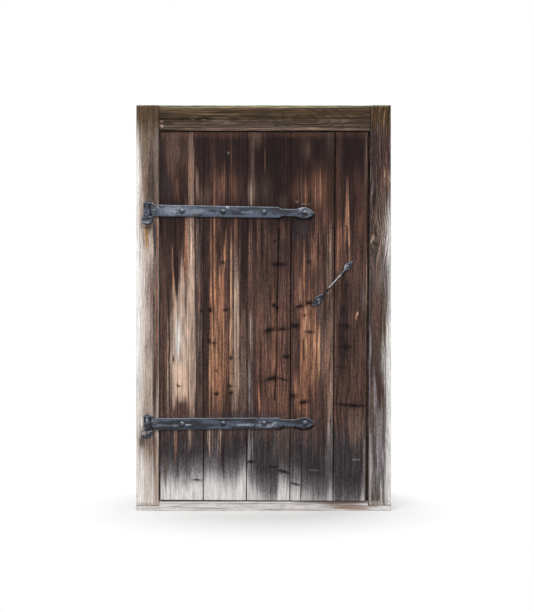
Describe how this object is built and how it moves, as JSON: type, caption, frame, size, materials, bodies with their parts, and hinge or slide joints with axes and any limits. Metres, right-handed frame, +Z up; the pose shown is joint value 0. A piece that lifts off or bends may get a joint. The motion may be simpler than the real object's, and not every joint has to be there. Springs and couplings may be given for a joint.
{
  "type": "plank door in frame",
  "caption": "Low plank door closed in a weathered timber frame, hung on forged strap hinges whose rolled eyes turn on pintles, with a diagonal forged pull handle.",
  "frame": {"origin": "centre of the underside of the sill", "axes": "+Z up, +Y into the wall, so the face of the door looks along -Y, and +X towards the closing jamb, on the right from in front"},
  "size_m": [1.176, 0.1896, 1.87],
  "materials": {
    "frame_wood": "bare softwood, weathered grey-brown, bleached on the outer edges",
    "sill_wood": "bare softwood, bleached almost white",
    "plank_wood": "bare softwood, dark brown with orange and grey streaks, bleached at the foot",
    "inside_wood": "bare softwood, sheltered from the weather",
    "forged_iron": "hand forged, blue-grey with dark patches, dull",
    "bolt_iron": "dull iron, a little worn on the heads",
    "handle_iron": "hand forged, polished by use on the grip"
  },
  "bodies": {
    "frame": {"hinge_jamb": "frame_wood", "closing_jamb": "frame_wood", "lintel": "frame_wood", "sill": "sill_wood", "lintel_peg_hinge": "inside_wood", "lintel_peg_closing": "inside_wood", "pintle_upper": "forged_iron", "pintle_lower": "forged_iron"},
    "leaf": {"plank_1": "plank_wood", "plank_2": "plank_wood", "plank_3": "plank_wood", "plank_4": "plank_wood", "plank_5": "plank_wood", "ledge_upper": "inside_wood", "ledge_lower": "inside_wood", "strap_upper": "forged_iron", "strap_lower": "forged_iron", "bolt_upper_1": "bolt_iron", "bolt_upper_2": "bolt_iron", "bolt_upper_3": "bolt_iron", "bolt_upper_4": "bolt_iron", "bolt_lower_1": "bolt_iron", "bolt_lower_2": "bolt_iron", "bolt_lower_3": "bolt_iron", "bolt_lower_4": "bolt_iron", "washer_upper_1": "bolt_iron", "washer_upper_2": "bolt_iron", "washer_upper_3": "bolt_iron", "washer_upper_4": "bolt_iron", "washer_lower_1": "bolt_iron", "washer_lower_2": "bolt_iron", "washer_lower_3": "bolt_iron", "washer_lower_4": "bolt_iron", "nut_upper_1": "bolt_iron", "nut_upper_2": "bolt_iron", "nut_upper_3": "bolt_iron", "nut_upper_4": "bolt_iron", "nut_lower_1": "bolt_iron", "nut_lower_2": "bolt_iron", "nut_lower_3": "bolt_iron", "nut_lower_4": "bolt_iron", "handle": "handle_iron", "handle_nail_upper": "handle_iron", "handle_nail_lower": "handle_iron"}
  },
  "joints": [
    {"name": "leaf_swing", "type": "hinge", "parent": "frame", "child": "leaf", "pos_m": [-0.535, -0.0909, 0.9], "axis": [0, 0, -1], "range_deg": [0, 170]}
  ]
}
